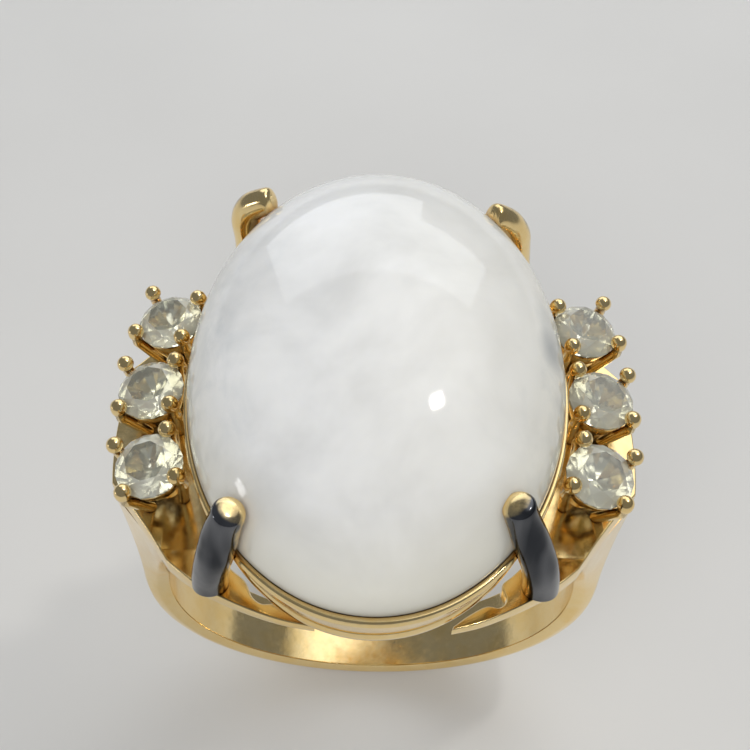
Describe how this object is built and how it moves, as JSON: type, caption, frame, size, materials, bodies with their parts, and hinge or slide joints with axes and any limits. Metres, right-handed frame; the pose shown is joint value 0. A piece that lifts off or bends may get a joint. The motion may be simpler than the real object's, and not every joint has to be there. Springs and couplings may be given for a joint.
{
  "type": "cocktail ring",
  "caption": "Gold-plated cocktail ring: a large milky oval cabochon in a four-claw gallery setting, with small round clear stones in wire baskets on each shoulder.",
  "frame": {"origin": "centre of the finger hole", "axes": "+Z from the finger's centre up through the oval stone, +Y along the finger, +X to the right shoulder"},
  "size_m": [0.02, 0.0186, 0.0277],
  "materials": {
    "gold_plate": "polished yellow gold plating over cast brass, lightly worn",
    "milky_stone": "polished translucent milky white, faintly cloudy",
    "clear_stone": "clear faceted crystal with a faint yellow-green tint"
  },
  "bodies": {
    "root": {"oval_cabochon": "milky_stone", "seat_rail": "gold_plate", "gallery_wire_rail": "gold_plate", "shank": "gold_plate", "right_shoulder_plate": "gold_plate", "left_shoulder_plate": "gold_plate", "front_right_claw": "gold_plate", "back_right_claw": "gold_plate", "front_left_claw": "gold_plate", "back_left_claw": "gold_plate", "right_front_accent_stone": "clear_stone", "right_front_collet": "gold_plate", "right_front_outer_back_bead_claw": "gold_plate", "right_front_inner_back_bead_claw": "gold_plate", "right_front_inner_front_bead_claw": "gold_plate", "right_front_outer_front_bead_claw": "gold_plate", "right_middle_accent_stone": "clear_stone", "right_middle_collet": "gold_plate", "right_middle_outer_back_bead_claw": "gold_plate", "right_middle_inner_back_bead_claw": "gold_plate", "right_middle_inner_front_bead_claw": "gold_plate", "right_middle_outer_front_bead_claw": "gold_plate", "right_back_accent_stone": "clear_stone", "right_back_collet": "gold_plate", "right_back_outer_back_bead_claw": "gold_plate", "right_back_inner_back_bead_claw": "gold_plate", "right_back_inner_front_bead_claw": "gold_plate", "right_back_outer_front_bead_claw": "gold_plate", "left_front_accent_stone": "clear_stone", "left_front_collet": "gold_plate", "left_front_outer_back_bead_claw": "gold_plate", "left_front_inner_back_bead_claw": "gold_plate", "left_front_inner_front_bead_claw": "gold_plate", "left_front_outer_front_bead_claw": "gold_plate", "left_middle_accent_stone": "clear_stone", "left_middle_collet": "gold_plate", "left_middle_outer_back_bead_claw": "gold_plate", "left_middle_inner_back_bead_claw": "gold_plate", "left_middle_inner_front_bead_claw": "gold_plate", "left_middle_outer_front_bead_claw": "gold_plate", "left_back_accent_stone": "clear_stone", "left_back_collet": "gold_plate", "left_back_outer_back_bead_claw": "gold_plate", "left_back_inner_back_bead_claw": "gold_plate", "left_back_inner_front_bead_claw": "gold_plate", "left_back_outer_front_bead_claw": "gold_plate"}
  },
  "joints": []
}
